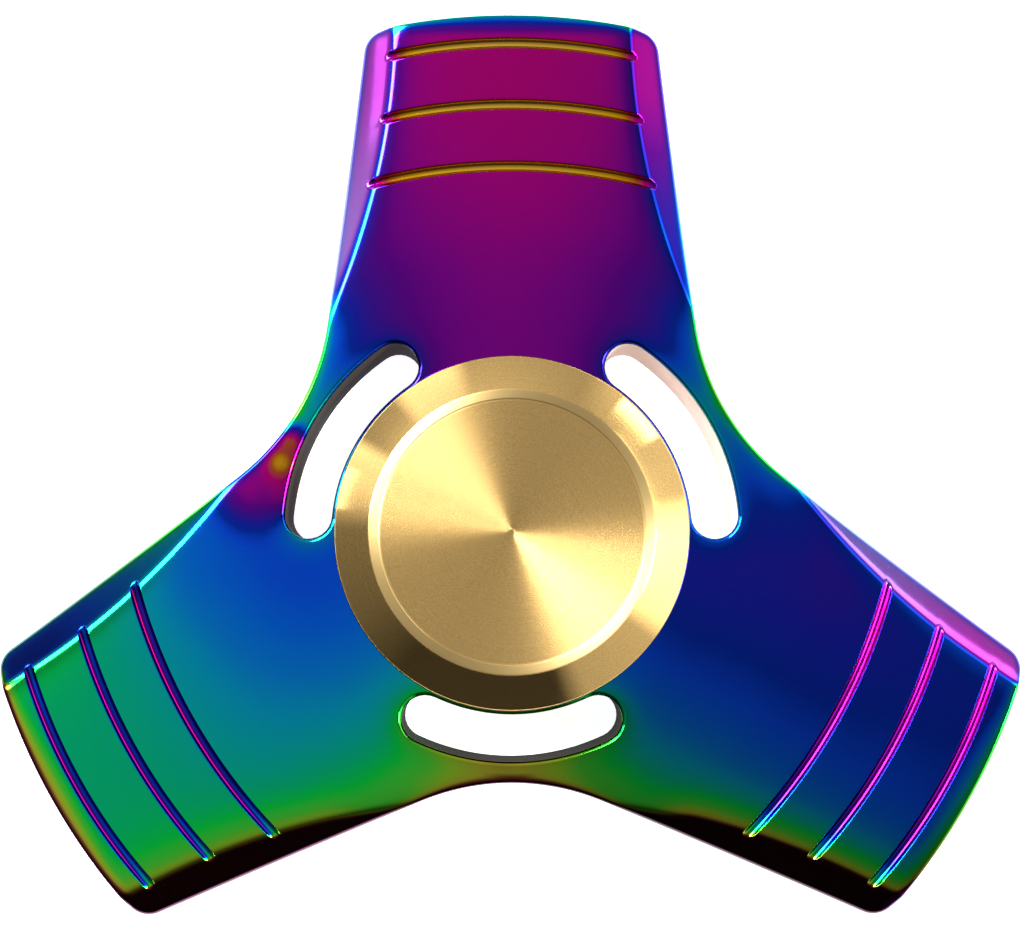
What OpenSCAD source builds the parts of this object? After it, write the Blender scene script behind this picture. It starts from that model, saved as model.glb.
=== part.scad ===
// Three-arm fidget spinner: a cast metal frame on a 608 ball bearing, held
// between two brass finger caps. Millimetres, +Z is the spin axis, and the
// origin is the centre of the bearing. The first arm points along +Y.

/* [Frame] */
// distance from the hub centre to the end of an arm
arm_tip = 35; // [30:0.5:45]
// thickness of the frame, the same as the bearing width
body_t = 7; // [7:0.5:9]
// radius of the curved end of an arm
tip_r = 42; // [30:1:60]
// radius of the rounded corner of an arm
corner_r = 1.4; // [0.8:0.1:2.5]
// how much each side of an arm leans in towards its end, in degrees
arm_flare = 6.8; // [4:0.2:9]
// radius of the curved valley between two arms
valley_r = 15.6; // [14:0.1:18]
// distance from the hub centre to the centre of a valley curve
valley_off = 32.1; // [31:0.1:34]
// size of the small bevel along the arm ends
edge_ch = 0.35; // [0.1:0.05:0.6]

/* [Side bevels] */
// radius of the scooped edge of each side bevel
facet_r = 49; // [40:1:60]
// sideways distance of the scoop centre from the arm's centre line
facet_x = 57; // [48:1:68]
// distance of the scoop centre from the hub along the arm
facet_y = 34.7; // [32:0.1:38]
// slope of the side bevels, in degrees
facet_slope = 38; // [30:1:60]

/* [Grip grooves] */
// distance of the outermost groove from the hub centre
groove_y = 33; // [31:0.1:33.4]
// distance from one groove to the next
groove_pitch = 4.2; // [3:0.1:4.5]
// radius of the arc that a groove follows
groove_arc = 38; // [34:1:45]
// radius of the round groove section
groove_r = 0.37; // [0.2:0.01:0.5]
// height of the groove section's centre above the face
groove_lift = 0.04; // [0.02:0.01:0.1]

/* [Curved slots] */
// radius of the slot's middle line around the hub
slot_mid = 13.55; // [13.4:0.05:13.7]
// half of the slot's width
slot_half_w = 1.55; // [1.2:0.05:1.6]
// half of the slot's length, as an angle at the hub
slot_half_a = 25; // [15:1:28]
// bevel around the slot's mouth
slot_ch = 0.25; // [0:0.05:0.4]

/* [Ball bearing] */
// outside diameter of the bearing
brg_od = 22; // [22:22]
// bore of the bearing
brg_bore = 8; // [8:8]
// width of the bearing
brg_w = 7; // [7:7]
// diameter of one ball
ball_d = 3.969; // [3.969:0.001:3.969]
// diameter of the circle through the ball centres
pitch_d = 15; // [15:15]

/* [Finger caps] */
// outside diameter of a cap
cap_d = 23.5; // [23:0.1:24]
// overall height of the spinner over both caps
cap_over = 11.8; // [11:0.1:14]
// inner diameter of the sloping ring
cap_bevel_d = 18.7; // [18:0.1:21]
// diameter of the sunken disc that the finger touches
cap_disc_d = 17.4; // [17:0.1:20]
// depth of the sunken disc at its centre
cap_dish = 0.5; // [0.1:0.1:0.8]
// diameter of the threaded stud
stud_d = 5; // [4:0.5:6]

/* [Hidden] */
$fn = 96;
arms = 3;
balls = 7;
eps = 0.01;
over = 1;
// how far one curve runs into the next instead of just touching it
blend = 0.006;
arm_step = 360 / arms;
ball_step = 360 / balls;
half_t = body_t / 2;
half_w = brg_w / 2;

// arm outline
valley_x = valley_off * sin(arm_step / 2);
valley_y = valley_off * cos(arm_step / 2);
side_c = cos(arm_flare) * valley_x + sin(arm_flare) * valley_y - valley_r + 3 * blend;
root_x = valley_x - valley_r * cos(arm_flare);
root_y = valley_y - valley_r * sin(arm_flare);
web_part = 0.6;
end_half_w = 13;
tip_c = arm_tip - tip_r;
corner_a = asin((side_c - corner_r - tip_c * sin(arm_flare)) / (tip_r - corner_r)) - arm_flare;
corner_x = (tip_r - corner_r) * sin(corner_a);
corner_y = tip_c + (tip_r - corner_r) * cos(corner_a);
arm_len = arm_tip + over;
groove_half_a = 21;

// bearing
ball_r = ball_d / 2;
pitch_r = pitch_d / 2;
race_gap = 0.03;
race_groove_r = 2.064;
inner_groove_c = pitch_r - ball_r - race_gap + race_groove_r;
outer_groove_c = pitch_r + ball_r + race_gap - race_groove_r;
inner_land_r = 6.05;
outer_land_r = 8.85;
race_ch = 0.3;
shield_seat_r = 9.4;
shield_seat_z = 2.45;
shield_t = 0.25;
shield_step_r = 8.8;
shield_bore_r = 6.3;
shield_top_z = 3.05;
ring_groove_r = 9.7;
ring_in_r = 8.95;
ring_t = 0.3;
ring_gap_a = 24;

// cage
cage_t = 0.35;
cage_in_r = 6.55;
cage_out_r = 8.45;
pocket_r = ball_r + 0.06;
rivet_r = 0.4;
rivet_head_r = 0.62;
rivet_head_t = 0.22;

// caps and sleeve
cap_r = cap_d / 2;
cap_top = cap_over / 2;
cap_low = half_t + 0.5;
cap_lip = 0.35;
cap_lip_ch = 0.15;
cap_bevel_r = cap_bevel_d / 2;
cap_disc_r = cap_disc_d / 2;
cap_step = 0.12;
boss_r = 5.3;
stud_r = stud_d / 2;
stud_end = 0.3;
stud_ch = 0.35;
sleeve_end = half_w - 0.1;

function side_x(y) = (side_c - sin(arm_flare) * y) / cos(arm_flare);
function turned(p, a) = [p[0] * cos(a) - p[1] * sin(a), p[0] * sin(a) + p[1] * cos(a)];

// one arm's straight-sided outline, from the valley on its right round to its left root
arm_points = [[valley_x * web_part, valley_y * web_part], [side_x(root_y), root_y],
              [side_x(arm_len), arm_len], [-side_x(arm_len), arm_len],
              [-side_x(root_y), root_y]];

module on_arms() {
    for (k = [0:arms - 1]) {
        rotate([0, 0, k * arm_step]) children();
    }
}

module both_sides() {
    children();
    mirror([1, 0, 0]) children();
}

module both_faces() {
    children();
    mirror([0, 0, 1]) children();
}

module corner_cut() {
    // what lies outside the rounding circle at the corner of an arm
    side_dir = [cos(arm_flare), sin(arm_flare)];
    end_dir = [sin(corner_a), cos(corner_a)];
    translate([corner_x, corner_y]) difference() {
        polygon([[0, 0], side_dir * corner_r * 2,
                 (side_dir + end_dir) * corner_r * 2, end_dir * corner_r * 2]);
        translate((side_dir + end_dir) * blend) circle(r = corner_r);
    }
}

module end_cut() {
    // what lies outside the curved end of an arm
    translate([0, tip_c]) difference() {
        translate([-end_half_w, tip_r * cos(arm_step / 4)])
            square([2 * end_half_w, tip_r * (1 - cos(arm_step / 4)) + 2 * over]);
        circle(r = tip_r, $fn = 240);
    }
}

module frame_outline() {
    difference() {
        polygon([for (k = [0:arms - 1]) for (p = arm_points) turned(p, k * arm_step)]);
        on_arms() {
            translate([valley_x, valley_y]) circle(r = valley_r, $fn = 144);
            end_cut();
            both_sides() corner_cut();
        }
        circle(r = brg_od / 2);
    }
}

module side_bevel_cutter() {
    // a cone standing beside the arm; the arm keeps what lies outside it
    drop = body_t * 0.45;
    low_r = facet_r - drop / tan(facet_slope);
    high_r = facet_r + over / tan(facet_slope);
    translate([facet_x, facet_y, half_t - drop])
        cylinder(h = drop + over, r1 = low_r, r2 = high_r, $fn = 240);
}

module tip_bevel_cutter() {
    translate([0, tip_c, half_t - edge_ch]) difference() {
        cylinder(h = edge_ch + over, r = tip_r + over, $fn = 240);
        translate([0, 0, -eps])
            cylinder(h = edge_ch + over + 2 * eps, r1 = tip_r + eps,
                     r2 = tip_r - edge_ch - over - eps, $fn = 240);
    }
}

module groove_cutter(y) {
    translate([0, y - groove_arc, half_t + groove_lift])
        rotate([0, 0, 90 - groove_half_a]) rotate_extrude(angle = 2 * groove_half_a, $fn = 240)
            translate([groove_arc, 0]) circle(r = groove_r, $fn = 24);
}

module slot_end() {
    cylinder(h = body_t + 2 * over, r = slot_half_w, center = true, $fn = 48);
    both_faces() translate([0, 0, half_t - slot_ch])
        cylinder(h = slot_ch + over, r1 = slot_half_w, r2 = slot_half_w + slot_ch + over, $fn = 48);
}

module slot_cutter() {
    // the slot's section, wider at its two mouths, carried round the hub
    far = half_t + over;
    wide = slot_half_w + slot_ch + over;
    rotate([0, 0, -slot_half_a]) rotate_extrude(angle = 2 * slot_half_a, $fn = 144)
        translate([slot_mid, 0]) polygon([
            [-wide, -far], [wide, -far],
            [slot_half_w, slot_ch - half_t], [slot_half_w, half_t - slot_ch],
            [wide, far], [-wide, far],
            [-slot_half_w, half_t - slot_ch], [-slot_half_w, slot_ch - half_t]]);
    for (s = [-1, 1]) {
        rotate([0, 0, s * slot_half_a]) translate([slot_mid, 0, 0]) slot_end();
    }
}

module spinner_body() {
    color([0.22, 0.12, 0.55]) difference() {
        linear_extrude(height = body_t, center = true) frame_outline();
        on_arms() {
            both_faces() {
                both_sides() side_bevel_cutter();
                tip_bevel_cutter();
                for (g = [0:2]) {
                    groove_cutter(groove_y - g * groove_pitch);
                }
            }
            rotate([0, 0, 90 - arm_step / 2]) slot_cutter();
        }
    }
}

module bearing_outer_race() {
    color([0.75, 0.76, 0.78]) rotate_extrude() difference() {
        polygon([
            [brg_od / 2, half_w - race_ch], [brg_od / 2 - race_ch, half_w],
            [shield_seat_r, half_w],
            [shield_seat_r, shield_seat_z + shield_t + ring_t],
            [ring_groove_r, shield_seat_z + shield_t + ring_t],
            [ring_groove_r, shield_seat_z + shield_t],
            [shield_seat_r, shield_seat_z + shield_t],
            [shield_seat_r, shield_seat_z],
            [outer_land_r, shield_seat_z],
            [outer_land_r, -shield_seat_z],
            [shield_seat_r, -shield_seat_z],
            [shield_seat_r, -shield_seat_z - shield_t],
            [ring_groove_r, -shield_seat_z - shield_t],
            [ring_groove_r, -shield_seat_z - shield_t - ring_t],
            [shield_seat_r, -shield_seat_z - shield_t - ring_t],
            [shield_seat_r, -half_w],
            [brg_od / 2 - race_ch, -half_w], [brg_od / 2, race_ch - half_w]]);
        translate([outer_groove_c, 0]) circle(r = race_groove_r);
    }
}

module bearing_inner_race() {
    color([0.75, 0.76, 0.78]) rotate_extrude() difference() {
        polygon([
            [brg_bore / 2, race_ch - half_w], [brg_bore / 2 + race_ch, -half_w],
            [inner_land_r - race_ch, -half_w], [inner_land_r, race_ch - half_w],
            [inner_land_r, half_w - race_ch], [inner_land_r - race_ch, half_w],
            [brg_bore / 2 + race_ch, half_w], [brg_bore / 2, half_w - race_ch]]);
        translate([inner_groove_c, 0]) circle(r = race_groove_r);
    }
}

module at_ball(k) {
    rotate([0, 0, 90 + k * ball_step]) translate([pitch_r, 0, 0]) children();
}

module at_rivet(k) {
    rotate([0, 0, 90 + (k + 0.5) * ball_step]) translate([pitch_r, 0, 0]) children();
}

module ball(k) {
    color([0.82, 0.83, 0.85]) at_ball(k) sphere(r = ball_r, $fn = 48);
}

module ball_1() {
    ball(0);
}

module ball_2() {
    ball(1);
}

module ball_3() {
    ball(2);
}

module ball_4() {
    ball(3);
}

module ball_5() {
    ball(4);
}

module ball_6() {
    ball(5);
}

module ball_7() {
    ball(6);
}

module tube(r_in, r_out, z_low, z_high) {
    translate([0, 0, z_low]) difference() {
        cylinder(h = z_high - z_low, r = r_out);
        translate([0, 0, -over]) cylinder(h = z_high - z_low + 2 * over, r = r_in);
    }
}

module cage_half() {
    color([0.70, 0.66, 0.58]) difference() {
        intersection() {
            union() {
                tube(cage_in_r, cage_out_r, 0, cage_t);
                for (k = [0:balls - 1]) {
                    at_ball(k) sphere(r = pocket_r + cage_t, $fn = 48);
                }
            }
            tube(cage_in_r, cage_out_r, 0, half_w);
        }
        for (k = [0:balls - 1]) {
            at_ball(k) sphere(r = pocket_r, $fn = 48);
            at_rivet(k) cylinder(h = body_t, r = rivet_r, center = true, $fn = 24);
        }
    }
}

module cage_upper() {
    cage_half();
}

module cage_lower() {
    mirror([0, 0, 1]) cage_half();
}

module cage_rivets() {
    color([0.70, 0.66, 0.58]) for (k = [0:balls - 1]) {
        at_rivet(k) {
            cylinder(h = 2 * cage_t, r = rivet_r, center = true, $fn = 24);
            both_faces() translate([0, 0, cage_t])
                cylinder(h = rivet_head_t, r1 = rivet_head_r, r2 = rivet_r, $fn = 24);
        }
    }
}

module shield() {
    color([0.68, 0.69, 0.71]) rotate_extrude() polygon([
        [shield_seat_r, shield_seat_z], [shield_seat_r, shield_seat_z + shield_t],
        [shield_step_r, shield_seat_z + shield_t], [shield_step_r - shield_t, shield_top_z],
        [shield_bore_r, shield_top_z], [shield_bore_r, shield_top_z - shield_t],
        [shield_step_r - 2 * shield_t, shield_top_z - shield_t],
        [shield_step_r - shield_t, shield_seat_z]]);
}

module shield_upper() {
    shield();
}

module shield_lower() {
    mirror([0, 0, 1]) shield();
}

module shield_ring() {
    color([0.60, 0.61, 0.63]) rotate([0, 0, 90 + ring_gap_a / 2])
        rotate_extrude(angle = 360 - ring_gap_a)
            translate([ring_in_r, shield_seat_z + shield_t])
                square([ring_groove_r - ring_in_r, ring_t]);
}

module shield_ring_upper() {
    shield_ring();
}

module shield_ring_lower() {
    rotate([180, 0, 0]) shield_ring();
}

module hub_sleeve() {
    color([0.66, 0.67, 0.70]) rotate_extrude() polygon([
        [stud_r + stud_ch, -sleeve_end], [brg_bore / 2 - stud_ch, -sleeve_end],
        [brg_bore / 2, stud_ch - sleeve_end], [brg_bore / 2, sleeve_end - stud_ch],
        [brg_bore / 2 - stud_ch, sleeve_end], [stud_r + stud_ch, sleeve_end],
        [stud_r, sleeve_end - stud_ch], [stud_r, stud_ch - sleeve_end]]);
}

module cap() {
    color([0.83, 0.66, 0.33]) rotate_extrude() polygon([
        [0, stud_end], [stud_r - stud_ch, stud_end], [stud_r, stud_end + stud_ch],
        [stud_r, half_w], [boss_r, half_w], [boss_r, cap_low],
        [cap_r - cap_lip_ch, cap_low], [cap_r, cap_low + cap_lip_ch],
        [cap_r, cap_low + cap_lip], [cap_r - cap_lip_ch, cap_low + cap_lip + cap_lip_ch],
        [cap_bevel_r, cap_top], [cap_disc_r + cap_step, cap_top],
        [cap_disc_r, cap_top - cap_step], [0, cap_top - cap_dish]]);
}

module cap_upper() {
    cap();
}

module cap_lower() {
    rotate([180, 0, 0]) cap();
}

spinner_body();
bearing_outer_race();
bearing_inner_race();
ball_1();
ball_2();
ball_3();
ball_4();
ball_5();
ball_6();
ball_7();
cage_upper();
cage_lower();
cage_rivets();
shield_upper();
shield_lower();
shield_ring_upper();
shield_ring_lower();
hub_sleeve();
cap_upper();
cap_lower();
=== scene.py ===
import math

import bmesh
import bpy
import numpy as np
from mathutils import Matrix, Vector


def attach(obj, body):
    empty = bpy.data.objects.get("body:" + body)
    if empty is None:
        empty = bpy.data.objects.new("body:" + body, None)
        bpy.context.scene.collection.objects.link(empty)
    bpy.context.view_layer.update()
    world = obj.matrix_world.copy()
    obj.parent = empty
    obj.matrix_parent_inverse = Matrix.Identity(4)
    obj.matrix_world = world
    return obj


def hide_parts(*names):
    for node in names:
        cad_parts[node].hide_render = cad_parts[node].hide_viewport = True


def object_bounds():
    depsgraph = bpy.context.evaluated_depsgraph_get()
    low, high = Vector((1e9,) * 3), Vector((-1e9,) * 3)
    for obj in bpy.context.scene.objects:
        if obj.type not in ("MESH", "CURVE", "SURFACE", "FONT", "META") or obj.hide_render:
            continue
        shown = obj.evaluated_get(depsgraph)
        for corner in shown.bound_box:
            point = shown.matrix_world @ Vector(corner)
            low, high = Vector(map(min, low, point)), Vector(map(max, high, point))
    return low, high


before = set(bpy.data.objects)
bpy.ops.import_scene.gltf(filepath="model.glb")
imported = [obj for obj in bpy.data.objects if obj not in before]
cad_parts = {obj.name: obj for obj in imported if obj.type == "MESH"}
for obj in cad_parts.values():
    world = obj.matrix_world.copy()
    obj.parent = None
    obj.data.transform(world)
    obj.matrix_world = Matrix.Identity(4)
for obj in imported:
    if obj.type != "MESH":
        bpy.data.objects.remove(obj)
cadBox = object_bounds()
mm = 0.001


# an sRGB hex colour as linear light: each channel through the sRGB curve
def linear(hexColour):
    parts = [int(hexColour[i:i + 2], 16) / 255 for i in (1, 3, 5)]
    return [c / 12.92 if c <= 0.04045 else ((c + 0.055) / 1.055) ** 2.4 for c in parts] + [1.0]


# the lower of a and b, rounded off where they cross over a width of about k
def softMin(a, b, k):
    return 0.5 * (a + b - np.sqrt((a - b) ** 2 + k * k))


# 0 below low, 1 above high, and a smooth cubic step between
def step(value, low, high):
    t = np.clip((value - low) / (high - low), 0, 1)
    return t * t * (3 - 2 * t)


# adds a node with its settings and its input values or links
def addNode(tree, kind, inputs=None, **settings):
    node = tree.nodes.new(kind)
    for name, value in settings.items():
        setattr(node, name, value)
    for name, value in (inputs or {}).items():
        if isinstance(value, bpy.types.NodeSocket):
            tree.links.new(value, node.inputs[name])
        else:
            node.inputs[name].default_value = value
    return node


# a ramp node's stops, given as (place, hex colour)
def setStops(ramp, stops):
    elements = ramp.color_ramp.elements
    while len(elements) > 1:
        elements.remove(elements[-1])
    elements[0].position, elements[0].color = stops[0][0], linear(stops[0][1])
    for place, colour in stops[1:]:
        elements.new(place).color = linear(colour)


# the quads of a grid whose point (i, j) is number i * columns + j; closed joins the last column to the first
def gridFaces(rows, columns, closed=False, flip=False):
    i = np.arange(rows - 1)[:, None]
    j = np.arange(columns if closed else columns - 1)[None, :]
    k = (j + 1) % columns
    quads = np.stack([i * columns + j, i * columns + k, (i + 1) * columns + k, (i + 1) * columns + j], -1)
    quads = quads.reshape(-1, 4)
    return quads[:, ::-1] if flip else quads


# joins patches, each (points in mm, quads), into one smooth welded mesh object; marks are numbers
# kept on the points, and normals, where given, are the surface's own directions there
def weldedObject(name, patches, marks=None, normals=None):
    points = np.concatenate([p for p, _ in patches]) * mm
    starts = np.cumsum([0] + [len(p) for p, _ in patches[:-1]])
    quads = np.concatenate([q + s for (_, q), s in zip(patches, starts)])
    mesh = bpy.data.meshes.new(name)
    mesh.from_pydata(points, [], quads)
    kept = {key: np.concatenate(values) for key, values in (marks or {}).items()}
    if normals is not None:
        kept.update(zip(("wayX", "wayY", "wayZ"), np.concatenate(normals).T))
    for key, values in kept.items():
        mesh.attributes.new(key, "FLOAT", "POINT").data.foreach_set("value", values.astype(np.float32))
    work = bmesh.new()
    work.from_mesh(mesh)
    bmesh.ops.remove_doubles(work, verts=work.verts, dist=1.5e-6)
    bmesh.ops.dissolve_degenerate(work, dist=1e-7, edges=work.edges)
    openEdges = sum(len(e.link_faces) != 2 for e in work.edges)
    work.to_mesh(mesh)
    work.free()
    mesh.shade_smooth()
    if normals is not None:
        ways = np.empty((3, len(mesh.vertices)), np.float32)
        for row, key in zip(ways, ("wayX", "wayY", "wayZ")):
            mesh.attributes[key].data.foreach_get("value", row)
            mesh.attributes.remove(mesh.attributes[key])
        ways /= np.linalg.norm(ways, axis=0)
        mesh.normals_split_custom_set_from_vertices(ways.T)
    made = bpy.data.objects.new(name, mesh)
    bpy.context.scene.collection.objects.link(made)
    print(name, len(mesh.polygons), "faces,", openEdges, "open edges")
    return made


body = {
    "armTip": 35.0, "thickness": 7.0, "tipCurve": 42.0, "corner": 1.4, "flare": 6.8,
    "valleyCurve": 15.6, "valleyOff": 32.1,
    "bevelCurve": 49.0, "bevelX": 57.0, "bevelY": 34.7, "bevelSlope": 38.0, "bevelSoft": 0.25,
    "grooveFirst": 33.0, "groovePitch": 4.2, "grooveCurve": 38.0, "grooveRadius": 0.37,
    # the next line's first three numbers set each slot wall's painted brightness: the upper right wall pale
    # as painted reflected light, the upper left and lower walls dark as painted shade
    "slotWallShades": (1.0, 0.45, 0.35), "grooveLift": 0.04, "grooveSoft": 0.05, "ridgeBunch": 0.55,
    "slotMid": 13.55, "slotHalfWidth": 1.55, "slotHalfAngle": 25.0, "slotEdge": 0.3,
    "bore": 11.0, "boreEdge": 0.2, "edge": 0.22, "rollDepth": 0.10, "rollWidth": 0.8,
}
halfT = body["thickness"] / 2
flare = math.radians(body["flare"])
sideN = np.array([math.cos(flare), math.sin(flare)])
valleyC = body["valleyOff"] * np.array([math.sin(math.radians(60)), math.cos(math.radians(60))])
sideC = float(sideN @ valleyC) - body["valleyCurve"]
root = valleyC - body["valleyCurve"] * sideN
tipC = body["armTip"] - body["tipCurve"]
cornerA = math.asin((sideC - body["corner"] - tipC * sideN[1]) / (body["tipCurve"] - body["corner"])) - flare
endN = np.array([math.sin(cornerA), math.cos(cornerA)])
cornerC = np.array([0, tipC]) + (body["tipCurve"] - body["corner"]) * endN
slotEnd = body["slotMid"] * np.array([math.sin(math.radians(60 - body["slotHalfAngle"])),
                                      math.cos(math.radians(60 - body["slotHalfAngle"]))])


# any point turned and mirrored into the right half of the +Y arm's third
def folded(x, y):
    angle = np.abs((np.arctan2(x, y) + math.pi / 3) % (2 * math.pi / 3) - math.pi / 3)
    reach = np.hypot(x, y)
    return reach * np.sin(angle), reach * np.cos(angle)


# how far a point lies inside the outline: the least of its distances to the side line,
# the valley curve, the arm's end curve and the corner circle
def depthInside(x, y):
    ax, ay = folded(x, y)
    side = sideC - sideN[0] * ax - sideN[1] * ay
    along = sideN[0] * (ay - root[1]) - sideN[1] * (ax - root[0])
    valley = np.hypot(ax - valleyC[0], ay - valleyC[1]) - body["valleyCurve"]
    depth = np.minimum(np.where(along < 0, valley, side), body["tipCurve"] - np.hypot(ax, ay - tipC))
    cx, cy = ax - cornerC[0], ay - cornerC[1]
    inCorner = (sideN[0] * cy - sideN[1] * cx > 0) & (cx * endN[1] - cy * endN[0] > 0)
    return np.where(inCorner, body["corner"] - np.hypot(cx, cy), depth)


# distance from the scooped edge of the side bevel, positive on the flat face
def bevelDistance(x, y):
    ax, ay = folded(x, y)
    return np.hypot(ax - body["bevelX"], ay - body["bevelY"]) - body["bevelCurve"]


# height of the upper face: the flat face, lowered by a cone on each side of the arm, then by
# three round-bottomed grooves that follow arcs, and by a gentle fall towards the outline
def faceHeight(x, y):
    ax, ay = folded(x, y)
    scoop = halfT + bevelDistance(x, y) * math.tan(math.radians(body["bevelSlope"]))
    height = softMin(np.full_like(ax, halfT), scoop, body["bevelSoft"])
    radius = body["grooveRadius"]
    for g in range(3):
        centre = body["grooveFirst"] - g * body["groovePitch"] - body["grooveCurve"]
        off = np.abs(np.hypot(ax, ay - centre) - body["grooveCurve"])
        floor = halfT + body["grooveLift"] - np.sqrt(np.clip(radius ** 2 - off ** 2, 0, None))
        floor = floor + np.clip(off - radius, 0, None) * 4
        height = softMin(height, floor, body["grooveSoft"])
    roll = body["rollDepth"] * np.exp(-np.clip(depthInside(x, y), 0, None) / body["rollWidth"])
    return height - roll


# the upward direction of the face: minus its two slopes, found by small steps, and one
def faceWay(x, y, size=0.004):
    alongX = (faceHeight(x + size, y) - faceHeight(x - size, y)) / (2 * size)
    alongY = (faceHeight(x, y + size) - faceHeight(x, y - size)) / (2 * size)
    return np.stack([-alongX, -alongY, np.ones_like(x)], -1)


# a rounded edge's directions: the face's own at its top turning to straight out at the wall
def roundedWay(x, y, outX, outY, size):
    turn = np.linspace(0, math.pi / 2, size)[:, None, None]
    out = np.stack(np.broadcast_arrays(outX, outY, 0.0 * outX), -1)
    face = faceWay(x, y)
    face /= np.linalg.norm(face, axis=-1, keepdims=True)
    return face * np.cos(turn) + out * np.sin(turn)


# how far outside a slot's outline a point lies: from its middle arc, or from its nearer end
def slotDistance(x, y):
    angle = np.abs((np.arctan2(x, y) + 2 * math.pi) % (2 * math.pi / 3) - math.pi / 3)
    reach = np.hypot(x, y)
    half = math.radians(body["slotHalfAngle"])
    past = np.clip(angle - half, 0, None)
    endX, endY = reach * np.sin(past), reach * np.cos(past) - body["slotMid"]
    return np.hypot(endX, endY) - body["slotHalfWidth"]


# a quarter-round edge: how far in from the wall, and how far down, at each step
def quarter(size, steps):
    turn = np.linspace(0, math.pi / 2, steps + 1)
    return size * (1 - np.sin(turn)), size * (1 - np.cos(turn))


# the right half of the outline from the valley's middle to the arm's middle, as base points
# and inward directions: valley arc, side line at the given heights, corner arc, end arc
def outlinePath(sideSteps, tipShares):
    low = math.atan2(-(valleyC[1]), -valleyC[0]) % (2 * math.pi)
    high = math.pi + flare
    turn = np.linspace(low, high, valleySteps + 1)
    valleyDir = np.stack([np.cos(turn), np.sin(turn)], -1)
    valley = valleyC + body["valleyCurve"] * valleyDir
    side = root + np.outer(sideSteps, [-sideN[1], sideN[0]])
    turn = np.linspace(flare, math.pi / 2 - cornerA, cornerSteps + 1)
    cornerDir = np.stack([np.cos(turn), np.sin(turn)], -1)
    corner = cornerC + body["corner"] * cornerDir
    turn = math.pi / 2 - cornerA * tipShares
    tipDir = np.stack([np.cos(turn), np.sin(turn)], -1)
    tip = np.array([0, tipC]) + body["tipCurve"] * tipDir
    base = np.concatenate([valley, side, corner, tip])
    inward = np.concatenate([valleyDir, np.tile(-sideN, (len(side), 1)), -cornerDir, -tipDir])
    return base, inward


# where the circle of this radius about (0, centre) meets the side line moved in by edge,
# as a distance along that line from the root
def alongSide(centre, radius):
    start = root - body["edge"] * sideN
    way = np.array([-sideN[1], sideN[0]])
    rel = start - np.array([0, centre])
    b = float(rel @ way)
    return -b + math.sqrt(b * b - float(rel @ rel) + radius * radius)


valleySteps, cornerSteps, slotArcSteps, bridgeSteps, slotEndSteps, innerSteps = 14, 8, 20, 30, 14, 24
grooveOffsets = np.array([-0.62, -0.5, -0.43, -0.39, -0.35, -0.29, -0.2, -0.1, 0,
                          0.1, 0.2, 0.29, 0.35, 0.39, 0.43, 0.5, 0.62])

# each row of the arm's grid as (distance along the side line, height on the arm's middle line)
sideRows = []
for g in (2, 1, 0):
    centre = body["grooveFirst"] - g * body["groovePitch"] - body["grooveCurve"]
    for off in grooveOffsets:
        radius = body["grooveCurve"] + off
        sideRows.append((alongSide(centre, radius), centre + radius))
    if g:
        gap = body["groovePitch"] - 2 * grooveOffsets[-1]
        for share in (0.2, 0.4, 0.6, 0.8):
            radius = body["grooveCurve"] + grooveOffsets[-1] + share * gap
            sideRows.append((alongSide(centre, radius), centre + radius))
lowRows = [(s, None) for s in np.linspace(0, sideRows[0][0], 26)[1:-1]]
sideSteps = np.array([s for s, _ in lowRows + sideRows])
firstApex = sideRows[0][1]

# columns: shares of the half row from the middle to the edge, even round the slots' ring
bridgeShare = (60 - body["slotHalfAngle"]) / 60
ringShares = np.concatenate([np.linspace(0, bridgeShare, bridgeSteps // 2 + 1),
                             np.linspace(bridgeShare, 1, slotArcSteps + 1)[1:]])
ridgeOffsets = np.array([-1, -0.7, -0.45, -0.28, -0.14, -0.02, 0.1, 0.22, 0.36, 0.52, 0.72, 1.0])


# columns on the arm: bunched where the row crosses the bevel's upper edge, which is where two
# circles meet, with even steps on either side of the bunch
def armColumns(apex, radius, spread):
    dy = body["bevelY"] - (apex - radius)
    apart = np.hypot(body["bevelX"], dy)
    cosine = (radius ** 2 + apart ** 2 - body["bevelCurve"] ** 2) / (2 * radius * apart)
    cross = (np.arctan2(body["bevelX"], dy) - np.arccos(np.clip(cosine, -1, 1))) / spread
    bunch = body["ridgeBunch"] / (spread * radius)
    middle = np.minimum(cross, 0.985 - bunch)[:, None]
    bunch = bunch[:, None]
    inner = (middle - bunch) * np.linspace(0, 1, 16)[:-1]
    outer = middle + bunch + (1 - middle - bunch) * np.linspace(0, 1, 10)[1:]
    return np.concatenate([inner, middle + bunch * ridgeOffsets, outer], 1)


endRow = [np.array([v]) for v in (body["armTip"] - body["edge"], body["tipCurve"] - body["edge"], cornerA)]
tipShares = armColumns(*endRow)[0, -2::-1]

outlineBase, outlineIn = outlinePath(sideSteps, tipShares)
innerEnds = outlineBase + outlineIn * body["edge"]
ringR = body["slotMid"] + body["slotHalfWidth"] + body["slotEdge"]
hubR = body["slotMid"] - body["slotHalfWidth"] - body["slotEdge"]


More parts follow.
